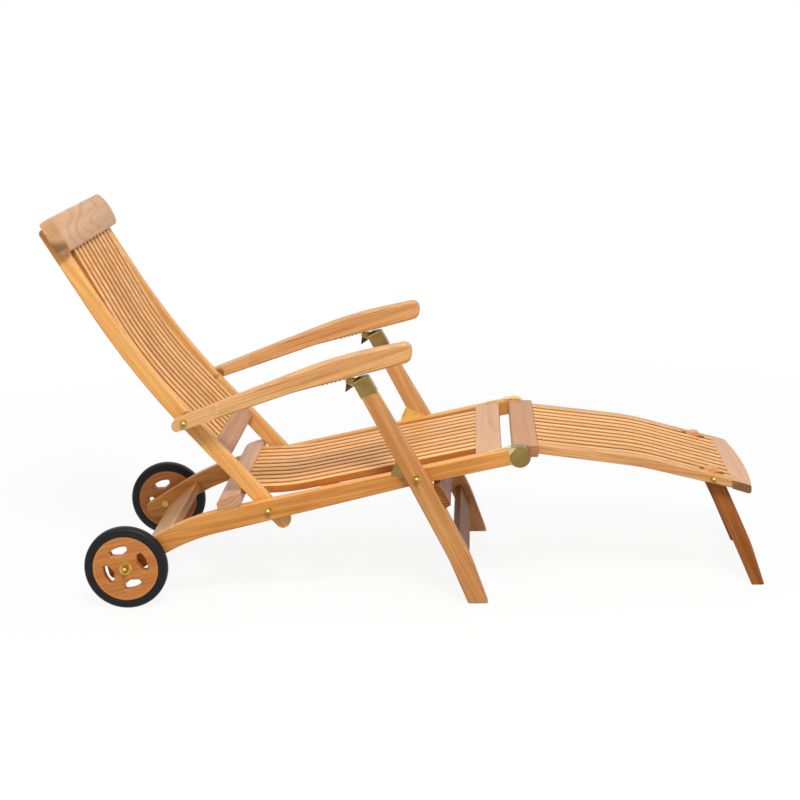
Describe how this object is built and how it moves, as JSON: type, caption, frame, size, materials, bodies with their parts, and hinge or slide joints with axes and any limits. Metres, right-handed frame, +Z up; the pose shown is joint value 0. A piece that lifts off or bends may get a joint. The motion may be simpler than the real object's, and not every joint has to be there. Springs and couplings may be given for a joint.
{
  "type": "steamer deck chair",
  "caption": "Folding slatted teak lounger with wheels under the back, arched arms, a reclining back and a hinged footrest on folding legs.",
  "frame": {"origin": "on the floor, under the middle of the chair in its open position", "axes": "+X toward the foot end, +Y toward the sitter's left, +Z up"},
  "size_m": [1.6975, 0.6608, 0.9316],
  "materials": {
    "teak": "satin",
    "wheel_wood": "satin",
    "brass": "aged",
    "tyre": "matte"
  },
  "bodies": {
    "seat_frame": {"seat_rail_left": "teak", "seat_rail_right": "teak", "seat_rear_board": "teak", "seat_front_board": "teak", "seat_slats": "teak", "seat_batten_rear": "teak", "seat_batten_front": "teak", "rear_stretcher": "teak", "knee_cap_left": "brass", "knee_cap_right": "brass", "knee_pins": "brass", "leg_pivot_bolts": "brass", "leg_wear_plates": "brass", "wheel_axle_bolts": "brass"},
    "back_hinge": {"back_pivot_bolts": "brass"},
    "backrest": {"back_stile_left": "teak", "back_stile_right": "teak", "headrest_board": "teak", "back_cross_rail": "teak", "back_batten": "teak", "back_slats": "teak"},
    "arm_hinge_left": {"arm_bolt_left": "brass", "arm_spacer_left": "brass"},
    "arm_hinge_right": {"arm_bolt_right": "brass", "arm_spacer_right": "brass"},
    "left_arm": {"arm_left": "teak", "arm_rack_left": "brass"},
    "right_arm": {"arm_right": "teak", "arm_rack_right": "brass"},
    "front_legs": {"front_leg_left": "teak", "front_leg_right": "teak", "leg_cap_left": "brass", "leg_cap_right": "brass", "leg_stretcher_upper": "teak", "leg_stretcher_lower": "teak", "latch_pins": "brass"},
    "latch_left": {"arm_latch_left": "brass"},
    "latch_right": {"arm_latch_right": "brass"},
    "wheel_left": {"wheel_disc_left": "wheel_wood", "wheel_tyre_left": "tyre", "wheel_bush_left": "brass"},
    "wheel_right": {"wheel_disc_right": "wheel_wood", "wheel_tyre_right": "tyre", "wheel_bush_right": "brass"},
    "footrest": {"footrest_rail_left": "teak", "footrest_rail_right": "teak", "footrest_first_board": "teak", "footrest_end_board": "teak", "footrest_slats": "teak", "footrest_edge_slat_left": "teak", "footrest_edge_slat_right": "teak", "footrest_batten": "teak", "foot_leg_bolts": "brass"},
    "footrest_legs": {"foot_leg_left": "teak", "foot_leg_right": "teak", "foot_leg_stretcher": "teak"}
  },
  "joints": [
    {"name": "back_fold", "type": "hinge", "parent": "seat_frame", "child": "back_hinge", "pos_m": [-0.33706, 0, 0.227], "axis": [0, 1, 0], "range_deg": [0, 80]},
    {"name": "back_recline", "type": "hinge", "parent": "back_hinge", "child": "backrest", "pos_m": [-0.33706, 0, 0.227], "axis": [0, 1, 0], "range_deg": [0, 14]},
    {"name": "arm_tilt_left", "type": "hinge", "parent": "backrest", "child": "arm_hinge_left", "pos_m": [-0.52196, 0.29, 0.4521], "axis": [0, 1, 0], "range_deg": [-12.6, 0]},
    {"name": "arm_fold_left", "type": "hinge", "parent": "arm_hinge_left", "child": "left_arm", "pos_m": [-0.52196, 0.29, 0.4521], "axis": [0, 1, 0], "range_deg": [-84, 0]},
    {"name": "latch_turn_left", "type": "hinge", "parent": "front_legs", "child": "latch_left", "pos_m": [-0.13406, 0.291, 0.543], "axis": [0, 1, 0], "range_deg": [0, 18]},
    {"name": "wheel_spin_left", "type": "hinge", "parent": "seat_frame", "child": "wheel_left", "pos_m": [-0.68006, 0.2987, 0.1], "axis": [0, 1, 0], "continuous": true},
    {"name": "arm_tilt_right", "type": "hinge", "parent": "backrest", "child": "arm_hinge_right", "pos_m": [-0.52196, -0.29, 0.4521], "axis": [0, 1, 0], "range_deg": [-12.6, 0]},
    {"name": "arm_fold_right", "type": "hinge", "parent": "arm_hinge_right", "child": "right_arm", "pos_m": [-0.52196, -0.29, 0.4521], "axis": [0, 1, 0], "range_deg": [-84, 0]},
    {"name": "latch_turn_right", "type": "hinge", "parent": "front_legs", "child": "latch_right", "pos_m": [-0.13406, -0.291, 0.543], "axis": [0, 1, 0], "range_deg": [0, 18]},
    {"name": "wheel_spin_right", "type": "hinge", "parent": "seat_frame", "child": "wheel_right", "pos_m": [-0.68006, -0.2987, 0.1], "axis": [0, 1, 0], "continuous": true},
    {"name": "leg_fold", "type": "hinge", "parent": "seat_frame", "child": "front_legs", "pos_m": [0.01794, 0, 0.309], "axis": [0, 1, 0], "range_deg": [0, 88]},
    {"name": "footrest_fold", "type": "hinge", "parent": "seat_frame", "child": "footrest", "pos_m": [0.26094, 0, 0.35], "axis": [0, 1, 0], "range_deg": [-130, 0]},
    {"name": "footrest_leg_fold", "type": "hinge", "parent": "footrest", "child": "footrest_legs", "pos_m": [0.71924, 0, 0.2759], "axis": [0, 1, 0], "range_deg": [0, 70]}
  ],
  "couplings": [
    {"joint": "arm_tilt_left", "follows": "back_recline", "ratio": -0.9},
    {"joint": "arm_fold_left", "follows": "back_fold", "ratio": -1.05},
    {"joint": "arm_tilt_right", "follows": "back_recline", "ratio": -0.9},
    {"joint": "arm_fold_right", "follows": "back_fold", "ratio": -1.05},
    {"joint": "leg_fold", "follows": "back_fold", "ratio": 1.1}
  ]
}
